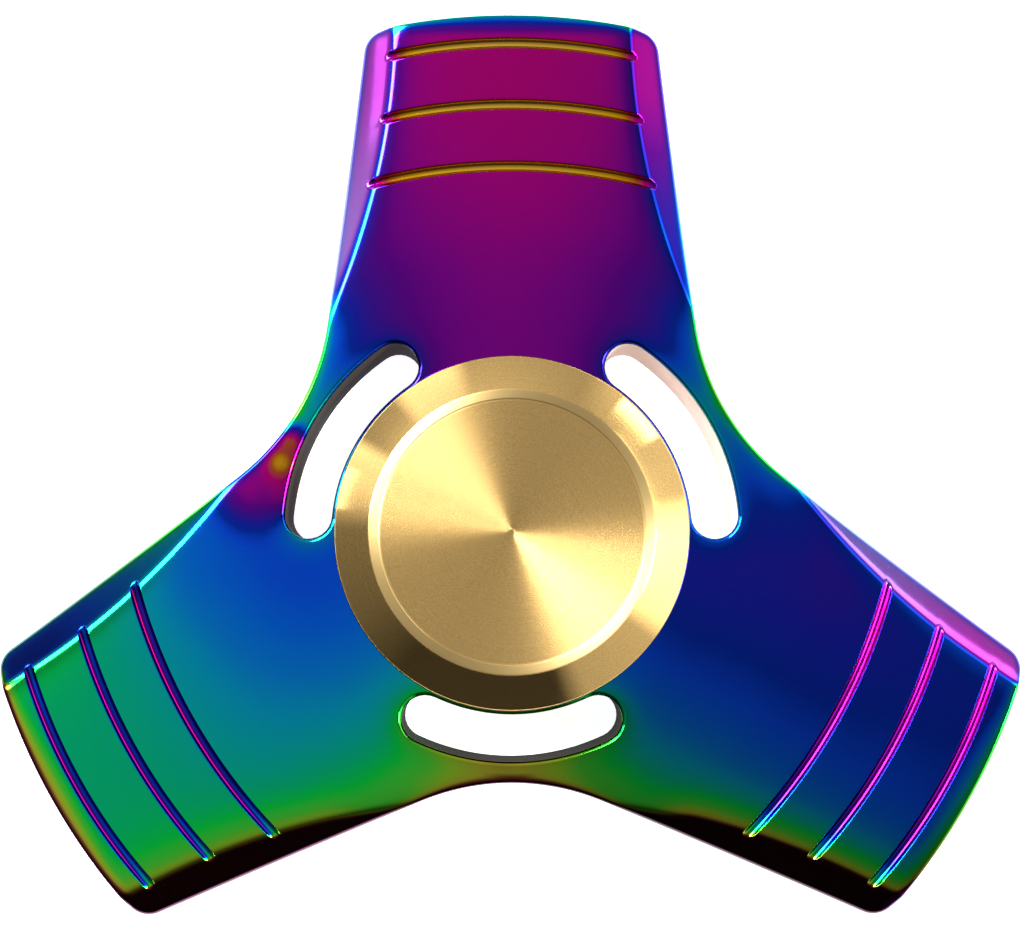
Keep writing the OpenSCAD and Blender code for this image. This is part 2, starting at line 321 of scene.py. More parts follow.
# the arm's face: every row is the circle arc through its two ends and its middle height, and the
# columns slide from an even spread at the slots to a close one along the arm's edges
def armFace():
    axis = np.array([math.sin(math.radians(60)), math.cos(math.radians(60))])
    valleyPoint = innerEnds[0]
    outward = float(valleyPoint @ axis)
    climb = [axis * r for r in np.linspace(ringR, outward, 3)[:-1]]
    ends = np.concatenate([climb, innerEnds[:valleySteps + 1 + len(sideSteps) + cornerSteps + 1]])
    lowCount = len(climb) + valleySteps + 1 + len(lowRows)
    t = np.linspace(0, 1, lowCount + 1)[:-1]
    lowApex = ringR + (firstApex - ringR) * t ** 1.15
    gapTop = body["armTip"] - body["edge"] - sideRows[-1][1]
    cornerApex = sideRows[-1][1] + gapTop * np.linspace(0, 1, cornerSteps + 3)[2:] ** 0.8
    apex = np.concatenate([lowApex, [a for _, a in sideRows], cornerApex])[:len(ends)]
    drop = apex - ends[:, 1]
    radius = (ends[:, 0] ** 2 + drop ** 2) / (2 * drop)
    spread = np.arctan2(ends[:, 0], radius - drop)
    blend = step(np.arange(len(ends)) / lowCount, 0.0, 0.45)[:, None]
    shares = ringShares * (1 - blend) + armColumns(apex, radius, spread) * blend
    turn = spread[:, None] * np.concatenate([-shares[:, :0:-1], shares], 1)
    x = radius[:, None] * np.sin(turn)
    y = (apex - radius)[:, None] + radius[:, None] * np.cos(turn)
    return x, y


# the bridge between two slots: rows of equal radius between the two rounded slot ends
def bridgeFace():
    turn = np.linspace(-math.pi / 2, math.pi / 2, slotEndSteps + 1)
    reach = body["slotHalfWidth"] + body["slotEdge"]
    outDir = slotEnd / np.linalg.norm(slotEnd)
    across = np.array([-outDir[1], outDir[0]])
    edge = slotEnd + reach * (np.outer(np.sin(turn), outDir) + np.outer(np.cos(turn), across))
    radius, angle = np.hypot(edge[:, 0], edge[:, 1]), np.arctan2(edge[:, 0], edge[:, 1])
    spread = angle[:, None] * np.linspace(-1, 1, bridgeSteps + 1)
    return radius[:, None] * np.sin(spread), radius[:, None] * np.cos(spread)


# the closed path round a slot whose middle points along +Y: base points and outward directions
def slotPath():
    half = math.radians(body["slotHalfAngle"])
    outer = np.linspace(-half, half, 2 * slotArcSteps + 1)
    inner = np.linspace(half, -half, innerSteps + 1)
    far, near = body["slotMid"] + body["slotHalfWidth"], body["slotMid"] - body["slotHalfWidth"]
    turn = np.linspace(0, math.pi, slotEndSteps + 1)[1:-1]
    radial = lambda a: np.stack([np.sin(a), np.cos(a)], -1)  # the outward direction at an angle from +Y
    parts, ways = [far * radial(outer)], [radial(outer)]
    way = radial(half + turn)
    parts.append(body["slotMid"] * radial(np.array([half])) + body["slotHalfWidth"] * way)
    ways.append(way)
    parts.append(near * radial(inner))
    ways.append(-radial(inner))
    way = radial(-half - turn[::-1])
    parts.append(body["slotMid"] * radial(np.array([-half])) + body["slotHalfWidth"] * way)
    ways.append(way)
    return np.concatenate(parts), np.concatenate(ways)


# turns plan points by a number of degrees about the hub, anticlockwise
def turned(x, y, degrees):
    a = math.radians(degrees)
    return x * math.cos(a) - y * math.sin(a), x * math.sin(a) + y * math.cos(a)


# The coating's colour number over each arm, worked outwards from the hub. "hub" and "tip" are its
# values on the arm's middle line; "cross" and "bow" change it straight and squared across the arm,
# "hubCross" only near the hub; "band" is added past the last groove; "bevel" is its value on the
# right and left side bevel, "bevelNeck" where those start, and "ridge" is added beside them over
# the width given; the pair after "bevelNeck" is how far a pale painted highlight covers them, on the bevels
# that face the low lamps
film = {
    "arms": [
        # a bevel or bevel-neck value of 0.95 is near black: painted shade on the lower bevels of the second
        # and third arms
        {"hub": 0.075, "tip": -0.01, "cross": 0.0, "hubCross": 0.0, "bow": 0.055, "band": 0.31,
         "bevel": (0.045, 0.075), "bevelNeck": (0.24, 0.13), "paintedSheen": (0.0, 0.16),
         "ridge": (0.22, 0.24), "ridgeWidth": (0.55, 0.6), "grooveWall": -0.02},
        {"hub": 0.385, "tip": 0.545, "cross": 0.0, "hubCross": -0.10, "bow": 0.02, "band": 0.27,
         "bevel": (0.31, 0.95), "bevelNeck": (0.46, 0.95), "paintedSheen": (0.0, 0.0),
         "ridge": (0.05, 0.26), "ridgeWidth": (0.8, 1.2), "grooveWall": -0.28},
        {"hub": 0.295, "tip": 0.315, "cross": 0.075, "hubCross": 0.04, "bow": 0.03, "band": 0.17,
         "bevel": (0.95, 0.065), "bevelNeck": (0.95, 0.18), "paintedSheen": (0.0, 0.16),
         "ridge": (0.48, 0.10), "ridgeWidth": (1.3, 0.7), "grooveWall": -0.04}],
    # on the next line, the rim's 0.98 is a dark colour number: painted shade where the outline faces down,
    # away from the lamps
    "rim": 0.22, "rimWidth": 0.35, "shadedRim": 0.98, "groove": -0.23,
    "neckRise": 0.25, "neckWidth": 2.1, "slotRise": 0.16, "slotWidth": 0.7,
    # the first four numbers on the next line darken the colour as painted shade: along the third arm's lower
    # side, beside the slots, along the outline and on the second arm's upper bevel
    "lowSideShade": 0.42, "slotShade": 0.35, "rimShade": 0.40, "bevelShade": 0.55, "wallDrift": 0.16,
}
# single spots where the film came out different: place, radius and the value there
filmSpots = [(0.0, -18.3, 3.4, 0.82), (6.5, -18.8, 2.9, 0.66), (-7.0, -19.0, 2.6, 0.68),
             (-17.4, 2.9, 2.2, 0.06), (-15.5, 2.6, 1.4, 0.08), (-15.3, 4.7, 1.5, -0.19),
             (-14.7, 6.0, 1.0, -0.12)]


# the colour number at each point: a mean of the three arms' rules weighted by nearness to each
# arm's middle line, then the necks, slots, bevels, spots, grooves and rims; the near-black numbers on the
# lower bevels of the second and third arms and on the rim where the outline faces down are painted shade
def filmThickness(x, y):
    reach, compass = np.hypot(x, y), np.arctan2(x, y)
    inside, flank = depthInside(x, y), bevelDistance(x, y)
    total, weights, bevel, wall = 0, 0, 0, 0
    for k, arm in enumerate(film["arms"]):
        across, along = turned(x, y, -120 * k)
        out = step(along, 12.0, 32.0)
        share = across / 8
        right = across > 0
        ridge = np.where(right, arm["ridge"][0], arm["ridge"][1])
        width = np.where(right, arm["ridgeWidth"][0], arm["ridgeWidth"][1])
        value = (arm["hub"] + (arm["tip"] - arm["hub"]) * out + arm["cross"] * share
                 + arm["hubCross"] * share * (1 - out) + arm["bow"] * share ** 2
                 + arm["band"] * step(along, 33.2, 34.7)
                 + ridge * np.exp(-np.clip(flank, 0, None) / width) * step(along, 15, 20))
        off = np.abs((compass + math.radians(120 * k) + math.pi) % (2 * math.pi) - math.pi)
        weight = np.exp(-(off / 0.66) ** 4) + 1e-4
        total, weights = total + value * weight, weights + weight
        toTip = step(along, 19, 31)
        onRight = arm["bevelNeck"][0] + (arm["bevel"][0] - arm["bevelNeck"][0]) * toTip
        onLeft = arm["bevelNeck"][1] + (arm["bevel"][1] - arm["bevelNeck"][1]) * toTip
        bevel = bevel + np.where(right, onRight, onLeft) * (off < math.pi / 3)
        wall = wall + arm["grooveWall"] * (off < math.pi / 3)
    value = total / weights
    outer = step(reach, 17, 22)
    value = value + (1 - outer) * film["neckRise"] * np.exp(-np.clip(inside, 0, None) / film["neckWidth"])
    value = value + film["slotRise"] * np.exp(-np.clip(slotDistance(x, y), 0, None) / film["slotWidth"])
    for sx, sy, size, there in filmSpots:
        near = np.exp(-((x - sx) ** 2 + (y - sy) ** 2) / size ** 2)
        value = value + (there - value) * near
    ax, ay = folded(x, y)
    for g in range(3):
        centre = body["grooveFirst"] - g * body["groovePitch"] - body["grooveCurve"]
        side = (np.hypot(ax, ay - centre) - body["grooveCurve"]) / body["grooveRadius"]
        off = np.abs(side)
        value = value + film["groove"] * (1 - step(off, 0.75, 1.08))
        value = value + wall * step(side, 0.1, 0.45) * (1 - step(off, 0.95, 1.12))
    # the bevels take their own numbers here; 0.95, near black, is painted shade on the lower bevels of the
    # second and third arms
    onBevel = step(-flank, -0.1, 0.3) * step(ay, 13, 16)
    value = value + (bevel - value) * onBevel
    size = 0.01
    outX = depthInside(x - size, y) - depthInside(x + size, y)
    outY = depthInside(x, y - size) - depthInside(x, y + size)
    bearing = np.degrees(np.arctan2(outY, outX)) % 360
    # painted shade: where the outline faces between about 204 and 300 degrees, down and away from the lamps,
    # its rim takes the dark rim number
    shaded = step(bearing, 190, 204) * (1 - step(bearing, 300, 312))
    rim = np.exp(-(np.clip(inside, 0, None) / film["rimWidth"]) ** 2)
    return value + rim * ((1 - shaded) * film["rim"] + shaded * (film["shadedRim"] - value))


patches, filmMarks, bareWallShadeMarks, shadeMarks, sheenMarks, ways = [], [], [], [], [], []


# how bright painted shade leaves the coating's colour, 1 at most: less along the lower side of the third arm,
# beside the slots, along the outline and on the second arm's upper bevel
def filmShade(x, y):
    across, along = turned(x, y, -240)
    inArm = step(along, 6, 14) * step(across, -5.5, 6.5)
    slot = np.exp(-np.clip(slotDistance(x, y), 0, None) / 0.6)
    rim = np.exp(-(np.clip(depthInside(x, y), 0, None) / film["rimWidth"]) ** 2)
    across, along = turned(x, y, -120)
    onBevel = step(-bevelDistance(x, y), -1.3, -0.2) * (across > 0) * step(along, 12, 26)
    tone = 1 - film["lowSideShade"] * inArm - film["slotShade"] * slot - film["rimShade"] * rim
    return np.clip(tone - film["bevelShade"] * onBevel, 0.15, 1)


# how far a pale painted highlight covers the side bevels that face the low lamps: most at the neck, fading
# towards the arm's tip
def paintedSheenShare(x, y):
    total = 0
    for k, arm in enumerate(film["arms"]):
        across, along = turned(x, y, -120 * k)
        most = np.where(across > 0, arm["paintedSheen"][0], arm["paintedSheen"][1])
        total = total + most * (1 - 0.7 * step(along, 19, 31)) * step(along, 12, 15)
    return total * step(-bevelDistance(x, y), 0.0, 0.5)


# adds a patch of the upper face and its mirror image on the lower face, for all three arms; where
# it meets a bare wall its last row is marked with that wall's number too, which picks the wall's duller
# colour and its painted brightness
def addFace(x, y, z, way, flip=False, closed=False, bareWallShade=(0, 0, 0)):
    lastRow = np.zeros(x.shape)
    lastRow[-1] = 1
    for k in range(3):
        tx, ty = turned(x, y, 120 * k)
        wayX, wayY = turned(way[..., 0], way[..., 1], 120 * k)
        for up in (1, -1):
            points = np.stack([tx, ty, up * z], -1).reshape(-1, 3)
            patches.append((points, gridFaces(*x.shape, closed=closed, flip=flip == (up > 0))))
            filmMarks.append(filmThickness(tx, ty).ravel())
            shadeMarks.append(filmShade(tx, ty).ravel())
            sheenMarks.append(paintedSheenShare(tx, ty).ravel())
            bareWallShadeMarks.append((bareWallShade[k] * lastRow).ravel())
            ways.append(np.stack([wayX, wayY, up * way[..., 2]], -1).reshape(-1, 3))


# adds a wall between the upper edge at height z and its mirror image below, in six bands; the
# coating's colour drifts towards the middle of its height
def addWall(x, y, z, outX, outY, flip=False, closed=False, bareWallShade=(0, 0, 0)):
    levels = np.linspace(1, -1, 7)[:, None]
    for k in range(3):
        tx, ty = turned(x, y, 120 * k)
        number = filmThickness(tx, ty) + film["wallDrift"] * (1 - levels ** 2)
        points = np.stack([np.tile(tx, (7, 1)), np.tile(ty, (7, 1)), levels * z], -1).reshape(-1, 3)
        patches.append((points, gridFaces(7, len(x), closed=closed, flip=flip)))
        filmMarks.append(number.ravel())
        shadeMarks.append(np.tile(filmShade(tx, ty), 7))
        sheenMarks.append(np.zeros(number.size))
        bareWallShadeMarks.append(np.full(number.size, float(bareWallShade[k])))
        wayX, wayY = turned(outX, outY, 120 * k)
        ways.append(np.tile(np.stack([wayX, wayY, 0 * wayX], -1), (7, 1)))


armX, armY = armFace()
addFace(armX, armY, faceHeight(armX, armY), faceWay(armX, armY))
bridgeX, bridgeY = bridgeFace()
addFace(bridgeX, bridgeY, faceHeight(bridgeX, bridgeY), faceWay(bridgeX, bridgeY))

# the rounded edge along the outline: the quarter-round carried along the path
inSteps, downSteps = quarter(body["edge"], 6)
fullBase = np.concatenate([outlineBase, (outlineBase * [-1, 1])[-2::-1]])
fullIn = np.concatenate([outlineIn, (outlineIn * [-1, 1])[-2::-1]])
stripX = fullBase[:, 0] + inSteps[:, None] * fullIn[:, 0]
stripY = fullBase[:, 1] + inSteps[:, None] * fullIn[:, 1]
stripZ = faceHeight(stripX, stripY) - downSteps[:, None]
outX, outY = -fullIn[:, 0], -fullIn[:, 1]
addFace(stripX, stripY, stripZ, roundedWay(stripX, stripY, outX, outY, len(stripX)), flip=True)
addWall(stripX[-1], stripY[-1], stripZ[-1], outX, outY, flip=True)

# the rounded mouth of each slot and its wall; each slot's wall is painted its own brightness, pale on one as
# painted reflected light and dark on the other two as painted shade
slotBase, slotOut = slotPath()
outSteps, slotDown = quarter(body["slotEdge"], 5)
mouthX = slotBase[:, 0] + outSteps[:, None] * slotOut[:, 0]
mouthY = slotBase[:, 1] + outSteps[:, None] * slotOut[:, 1]
mouthX, mouthY = turned(mouthX, mouthY, -60)
mouthZ = faceHeight(mouthX, mouthY) - slotDown[:, None]
outX, outY = turned(-slotOut[:, 0], -slotOut[:, 1], -60)
addFace(mouthX, mouthY, mouthZ, roundedWay(mouthX, mouthY, outX, outY, len(mouthX)),
        flip=True, closed=True, bareWallShade=body["slotWallShades"])
addWall(mouthX[-1], mouthY[-1], mouthZ[-1], outX, outY, flip=True, closed=True, bareWallShade=body["slotWallShades"])

# the ring round the bearing: flat, then a small rounded edge into the bore
bridgeAngles = np.radians(60 - body["slotHalfAngle"]) * np.linspace(-1, 1, bridgeSteps + 1)
slotAngles = math.radians(60) + np.radians(body["slotHalfAngle"]) * np.linspace(-1, 1, innerSteps + 1)
ringAngles = np.concatenate([bridgeAngles, slotAngles[1:]])
boreIn, boreDown = quarter(body["boreEdge"], 3)
ringReach = np.concatenate([[hubR, 11.45], body["bore"] + boreIn])
ringDown = np.concatenate([[0, 0], boreDown])
ringX = ringReach[:, None] * np.sin(ringAngles)
ringY = ringReach[:, None] * np.cos(ringAngles)
ringZ = faceHeight(ringX, ringY) - ringDown[:, None]
outX, outY = -np.sin(ringAngles), -np.cos(ringAngles)
ringWay = faceWay(ringX, ringY)
ringWay[2:] = roundedWay(ringX[2:], ringY[2:], outX, outY, len(ringX) - 2)
addFace(ringX, ringY, ringZ, ringWay, flip=True, bareWallShade=(0.6, 0.6, 0.6))
addWall(ringX[-1], ringY[-1], ringZ[-1], outX, outY, flip=True, bareWallShade=(0.6, 0.6, 0.6))

spinner = weldedObject("rainbow_body", patches, {"film": filmMarks, "bareWallShade": bareWallShadeMarks, "tone": shadeMarks,
                        "paintedSheen": sheenMarks}, ways)
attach(spinner, "rotor")
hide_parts("spinner_body")


cap = {
    "rim": 11.75, "low": 4.0, "lip": 0.35, "bevelIn": 9.35, "top": 5.9,
    "discR": 8.70, "discStep": 0.05, "dish": 0.50, "dishCurve": 1.05, "boss": 5.3, "bossLow": 3.5,
    "stud": 2.5, "studEnd": 0.3, "segments": 160,
}


# corner points of a profile replaced by short arcs of the given radii
def roundedProfile(corners, radii, steps=4):
    made = [corners[0]]
    for before, here, after, radius in zip(corners, corners[1:], corners[2:], radii[1:]):
        before, here, after = map(np.asarray, (before, here, after))
        a, b = before - here, after - here
        reach = min(radius, np.linalg.norm(a) * 0.45, np.linalg.norm(b) * 0.45)
        a, b = a / np.linalg.norm(a), b / np.linalg.norm(b)
        t = np.linspace(0, 1, steps + 1)[:, None] if reach > 0 else np.zeros((1, 1))
        made.extend((1 - t) ** 2 * (here + a * reach) + 2 * t * (1 - t) * here + t ** 2 * (here + b * reach))
    made.append(np.asarray(corners[-1]))
    return np.array(made)


# the cap: a rounded profile turned about the spin axis; the sunken disc is a shallow bowl
def capObject(name, up):
    dishR = cap["discR"] - np.concatenate([[0, 0.04, 0.1, 0.2], np.linspace(0.35, cap["discR"], 26)])
    sunk = 1 - (dishR / cap["discR"]) ** cap["dishCurve"]
    dishZ = cap["top"] - cap["discStep"] - (cap["dish"] - cap["discStep"]) * sunk
    corners = [(0, cap["studEnd"]), (cap["stud"], cap["studEnd"]), (cap["stud"], cap["bossLow"]),
               (cap["boss"], cap["bossLow"]), (cap["boss"], cap["low"]), (cap["rim"], cap["low"]),
               (cap["rim"], cap["low"] + cap["lip"]), (cap["bevelIn"], cap["top"]),
               (cap["discR"] + cap["discStep"], cap["top"]), (cap["discR"], cap["top"] - cap["discStep"])]
    radii = [0, 0.3, 0.0, 0.05, 0.1, 0.14, 0.16, 0.10, 0.05]
    profile = np.concatenate([roundedProfile(corners, radii), np.stack([dishR, dishZ], -1)[1:]])
    turn = np.linspace(0, 2 * math.pi, cap["segments"] + 1)[:-1]
    x = profile[:, :1] * np.cos(turn)
    y = profile[:, :1] * np.sin(turn)
    z = np.tile(profile[:, 1:] * up, (1, len(turn)))
    points = np.stack([x, y, z], -1).reshape(-1, 3)
    made = weldedObject(name, [(points, gridFaces(len(profile), len(turn), closed=True, flip=up < 0))])
    mesh = made.data
    uv = mesh.uv_layers.new(name="turning")
    where = np.empty(len(mesh.vertices) * 3)
    mesh.vertices.foreach_get("co", where)
    where = where.reshape(-1, 3)
    corner = np.empty(len(mesh.loops), np.int32)
    mesh.loops.foreach_get("vertex_index", corner)
    around = np.arctan2(where[corner, 1], where[corner, 0]) / (2 * math.pi)
    reach = np.hypot(where[corner, 0], where[corner, 1]) / (cap["rim"] * mm)
    firstLoop = np.empty(len(mesh.polygons), np.int32)
    count = np.empty(len(mesh.polygons), np.int32)
    mesh.polygons.foreach_get("loop_start", firstLoop)
    mesh.polygons.foreach_get("loop_total", count)
    base = np.repeat(around[firstLoop], count)
    around = around + np.round(base - around)
    uv.data.foreach_set("uv", np.stack([around, reach], -1).ravel())
    return made


capUpper = capObject("brass_cap_upper", 1)
capLower = capObject("brass_cap_lower", -1)
for piece, node in ((capUpper, "cap_upper"), (capLower, "cap_lower")):
    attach(piece, "hub")
    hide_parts(node)
print("caps turned")


# a new material with an empty tree, its output and its Principled shader
def newMaterial(name):
    made = bpy.data.materials.new(name)
    made.use_nodes = True
    made.node_tree.nodes.clear()
    tree = made.node_tree
    shader = addNode(tree, "ShaderNodeBsdfPrincipled")
    addNode(tree, "ShaderNodeOutputMaterial", {"Surface": shader.outputs["BSDF"]})
    return made, tree, shader


# Zinc casting, mirror polished, then vacuum coated with a thin clear nitride film. The film's
# thickness sets which colour it mirrors, so the colour wanders over the part like oil on water.
# The coating does not reach far down the slots, whose walls stay a duller bare metal; each slot's wall is
# also painted its own brightness, pale on the upper right one as painted reflected light and dark on the
# other two as painted shade.
# the dust colour pales both the real dust specks and the painted highlight on the bevels that face the low
# lamps
rainbow = {"wander": 0.035, "wanderSize": 11.0, "roughLow": 0.06, "roughHigh": 0.12, "hazeScale": 1400.0,
           "coat": 0.06, "coatRough": 0.05, "dustSpacing": 4.5, "dust": "#C8BEDC"}
# the stops from 0.88 to 0.96 run down to near black; the lower bevels and the down-facing rim use them as
# painted shade
filmColours = [(-0.30, "#C8A84A"), (-0.18, "#CC960E"), (-0.10, "#A8481A"), (-0.03, "#B2006C"),
               (0.02, "#A60080"), (0.08, "#80028C"), (0.13, "#5E028A"), (0.20, "#3C1294"),
               (0.26, "#181FA6"), (0.30, "#022BA6"), (0.34, "#044ADD"), (0.38, "#0064DC"),
               (0.42, "#027CD0"), (0.46, "#009ABC"), (0.50, "#01A99F"), (0.54, "#01B57A"),
               (0.57, "#01C25C"), (0.60, "#06CC3F"), (0.68, "#4CC834"), (0.75, "#90C22A"), (0.82, "#B0AC30"),
               (0.88, "#7C4A26"), (0.92, "#5A1A1E"), (0.96, "#2C060E"), (1.05, "#8A0A7A"), (1.20, "#3A1490")]
# wall colours by number: the near-black and dark brown ones are painted shade on the lower and upper left
# slot walls, the pale one painted reflected light on the upper right wall, and 0.6 is the bore wall's dull
# brown
wallShadeColours = [(0.0, "#1A1512"), (0.35, "#1A1512"), (0.6, "#5A4A40"), (1.0, "#D8C8BE")]


# the coating's tree: the film number plus a slow wander picks the colour, which the tone attribute darkens
# as painted shade and which real dust specks and a painted highlight on the bevels facing the low lamps pale;
# bare walls take their own duller colour, painted lighter or darker by slot, and no metal shine
def rainbowMaterial():
    made, tree, shader = newMaterial("polished zinc, rainbow vacuum coating")
    number = addNode(tree, "ShaderNodeAttribute", attribute_name="film")
    bareWallShade = addNode(tree, "ShaderNodeAttribute", attribute_name="bareWallShade")
    # this attribute is painted shade: it darkens the coating's colour beside the slots, along the outline, on
    # the third arm's lower side and on the second arm's upper bevel
    tone = addNode(tree, "ShaderNodeAttribute", attribute_name="tone")
    paintedSheen = addNode(tree, "ShaderNodeAttribute", attribute_name="paintedSheen")
    place = addNode(tree, "ShaderNodeTexCoord")
    wander = addNode(tree, "ShaderNodeTexNoise", {"Vector": place.outputs["Object"],
                     "Scale": 1000 / rainbow["wanderSize"], "Detail": 3.0, "Roughness": 0.45})
    wanderOff = addNode(tree, "ShaderNodeMath", {0: wander.outputs["Fac"], 1: 0.5}, operation="SUBTRACT")
    thick = addNode(tree, "ShaderNodeMath", {0: wanderOff.outputs[0], 1: rainbow["wander"],
                                             2: number.outputs["Fac"]}, operation="MULTIPLY_ADD")
    low, high = filmColours[0][0], filmColours[-1][0]
    scaled = addNode(tree, "ShaderNodeMapRange", {"Value": thick.outputs[0], "From Min": low,
                     "From Max": high})
    ramp = addNode(tree, "ShaderNodeValToRGB", {"Fac": scaled.outputs[0]})
    setStops(ramp, [((place - low) / (high - low), colour) for place, colour in filmColours])
    walls = addNode(tree, "ShaderNodeValToRGB", {"Fac": bareWallShade.outputs["Fac"]})
    setStops(walls, wallShadeColours)
    isWall = addNode(tree, "ShaderNodeMath", {0: bareWallShade.outputs["Fac"], 1: 4.0}, operation="MULTIPLY",
                     use_clamp=True)
    paintedShadeColour = addNode(tree, "ShaderNodeVectorMath", {0: ramp.outputs["Color"], 3: tone.outputs["Fac"]},
                   operation="SCALE")
    cells = addNode(tree, "ShaderNodeTexVoronoi", {"Vector": place.outputs["Object"],
                    "Scale": 1000 / rainbow["dustSpacing"]})
    dust = addNode(tree, "ShaderNodeMapRange", {"Value": cells.outputs["Distance"], "From Min": 0.020,
                   "From Max": 0.012, "To Max": 0.5})
    # real dust specks and the painted highlight on the lamp-facing bevels both pale the colour towards the
    # same lilac white
    pale = addNode(tree, "ShaderNodeMath", {0: dust.outputs[0], 1: paintedSheen.outputs["Fac"]}, operation="MAXIMUM")
    dustAndSheen = addNode(tree, "ShaderNodeMix", {0: pale.outputs[0], 6: paintedShadeColour.outputs[0],
                    7: linear(rainbow["dust"])}, data_type="RGBA")
    both = addNode(tree, "ShaderNodeMix", {0: isWall.outputs[0], 6: dustAndSheen.outputs[2],
                   7: walls.outputs["Color"]}, data_type="RGBA")
    coated = addNode(tree, "ShaderNodeMath", {0: 1.0, 1: isWall.outputs[0]}, operation="SUBTRACT")
    tree.links.new(coated.outputs[0], shader.inputs["Metallic"])
    tree.links.new(both.outputs[2], shader.inputs["Base Color"])
    haze = addNode(tree, "ShaderNodeTexNoise", {"Vector": place.outputs["Object"],
                   "Scale": rainbow["hazeScale"], "Detail": 2.0})
    rough = addNode(tree, "ShaderNodeMapRange", {"Value": haze.outputs["Fac"], "To Min": rainbow["roughLow"],
                    "To Max": rainbow["roughHigh"]})
    dull = addNode(tree, "ShaderNodeMath", {0: isWall.outputs[0], 1: 0.6, 2: rough.outputs[0]},
                   operation="MULTIPLY_ADD")
    tree.links.new(dull.outputs[0], shader.inputs["Roughness"])
    shader.inputs["Coat Weight"].default_value = rainbow["coat"]
    shader.inputs["Specular IOR Level"].default_value = 0.0  # bare walls are matt; metal is unaffected
    shader.inputs["Coat Roughness"].default_value = rainbow["coatRough"]
    return made


# Brass bar, faced and rimmed on a lathe. The cutter leaves fine rings, so light smears across
# them into wedges from the centre; the sloping ring was burnished and shines, and the narrow
# land between them is left sandy.
brass = {"colour": "#DFBB78", "dark": "#BE9652", "land": "#BFA36C", "ringPitch": 0.14, "grainSize": 0.09,
         "discRough": 0.22, "landRough": 0.40, "bevelRough": 0.07, "anisotropy": 0.88}


# a radius on the cap as a share of its rim
def capShare(radius):
    return radius / cap["rim"]


# the brass tree: rings and grain set the tone and the relief, the radius sets the roughness and
# the sandy land, and the shine is stretched along the turning direction
def brassMaterial():
    made, tree, shader = newMaterial("lathe turned brass")
    place = addNode(tree, "ShaderNodeTexCoord")
    flat = addNode(tree, "ShaderNodeVectorMath", {0: place.outputs["Object"], 1: (1, 1, 0)},
                   operation="MULTIPLY")
    reach = addNode(tree, "ShaderNodeVectorMath", {0: flat.outputs[0]}, operation="LENGTH")
    rings = addNode(tree, "ShaderNodeTexNoise", {"W": reach.outputs["Value"], "Detail": 3.0, "Roughness": 0.6,
                    "Scale": 1000 / brass["ringPitch"]}, noise_dimensions="1D")
    grain = addNode(tree, "ShaderNodeTexNoise", {"Vector": place.outputs["Object"],
                    "Scale": 1000 / brass["grainSize"], "Detail": 2.0, "Roughness": 0.7})
    zones = addNode(tree, "ShaderNodeMapRange", {"Value": reach.outputs["Value"], "From Min": 0.0,
                    "From Max": cap["rim"] * mm})
    grainShare = addNode(tree, "ShaderNodeMapRange", {"Value": grain.outputs["Fac"], "From Min": 0.2,
                         "From Max": 0.8})
    mixed = addNode(tree, "ShaderNodeMath", {0: rings.outputs["Fac"], 1: 0.35, 2: grainShare.outputs[0]},
                    operation="MULTIPLY_ADD")
    tone = addNode(tree, "ShaderNodeMix", {0: mixed.outputs[0], 6: linear(brass["dark"]),
                   7: linear(brass["colour"])}, data_type="RGBA")
    land = addNode(tree, "ShaderNodeValToRGB", {"Fac": zones.outputs[0]})
    setStops(land, [(capShare(cap["discR"] - 0.02), "#000000"), (capShare(cap["discR"] + 0.06), "#FFFFFF"),
                    (capShare(cap["bevelIn"] - 0.10), "#FFFFFF"), (capShare(cap["bevelIn"]), "#000000")])
    pale = addNode(tree, "ShaderNodeMix", {0: land.outputs["Color"], 6: tone.outputs[2],
                   7: linear(brass["land"])}, data_type="RGBA")
    shader.inputs["Metallic"].default_value = 1.0
    tree.links.new(pale.outputs[2], shader.inputs["Base Color"])
    rough = addNode(tree, "ShaderNodeFloatCurve", {"Value": zones.outputs[0]})
    curve = rough.mapping.curves[0]
    spots = [(0.0, brass["discRough"]), (capShare(cap["discR"] - 0.15), brass["discRough"]),
             (capShare(cap["discR"] + 0.10), brass["landRough"]),
             (capShare(cap["bevelIn"] - 0.05), brass["landRough"]),
             (capShare(cap["bevelIn"] + 0.10), brass["bevelRough"]), (1.0, brass["bevelRough"])]
    curve.points[0].location, curve.points[1].location = spots[0], spots[-1]
    for spot in spots[1:-1]:
        curve.points.new(*spot)
    for point in curve.points:
        point.handle_type = "VECTOR"
    rough.mapping.update()
    varied = addNode(tree, "ShaderNodeMath", {0: grain.outputs["Fac"], 1: 0.05, 2: rough.outputs[0]},
                     operation="MULTIPLY_ADD")
    tree.links.new(varied.outputs[0], shader.inputs["Roughness"])
    shader.inputs["Anisotropic"].default_value = brass["anisotropy"]
    shader.inputs["Anisotropic Rotation"].default_value = 0.25
    along = addNode(tree, "ShaderNodeTangent", direction_type="UV_MAP", uv_map="turning")
    tree.links.new(along.outputs[0], shader.inputs["Tangent"])
    relief = addNode(tree, "ShaderNodeMath", {0: rings.outputs["Fac"], 1: grain.outputs["Fac"]},
                     operation="ADD")
    bump = addNode(tree, "ShaderNodeBump", {"Height": relief.outputs[0], "Strength": 0.18,
                   "Distance": 0.000006})
    tree.links.new(bump.outputs[0], shader.inputs["Normal"])
    return made


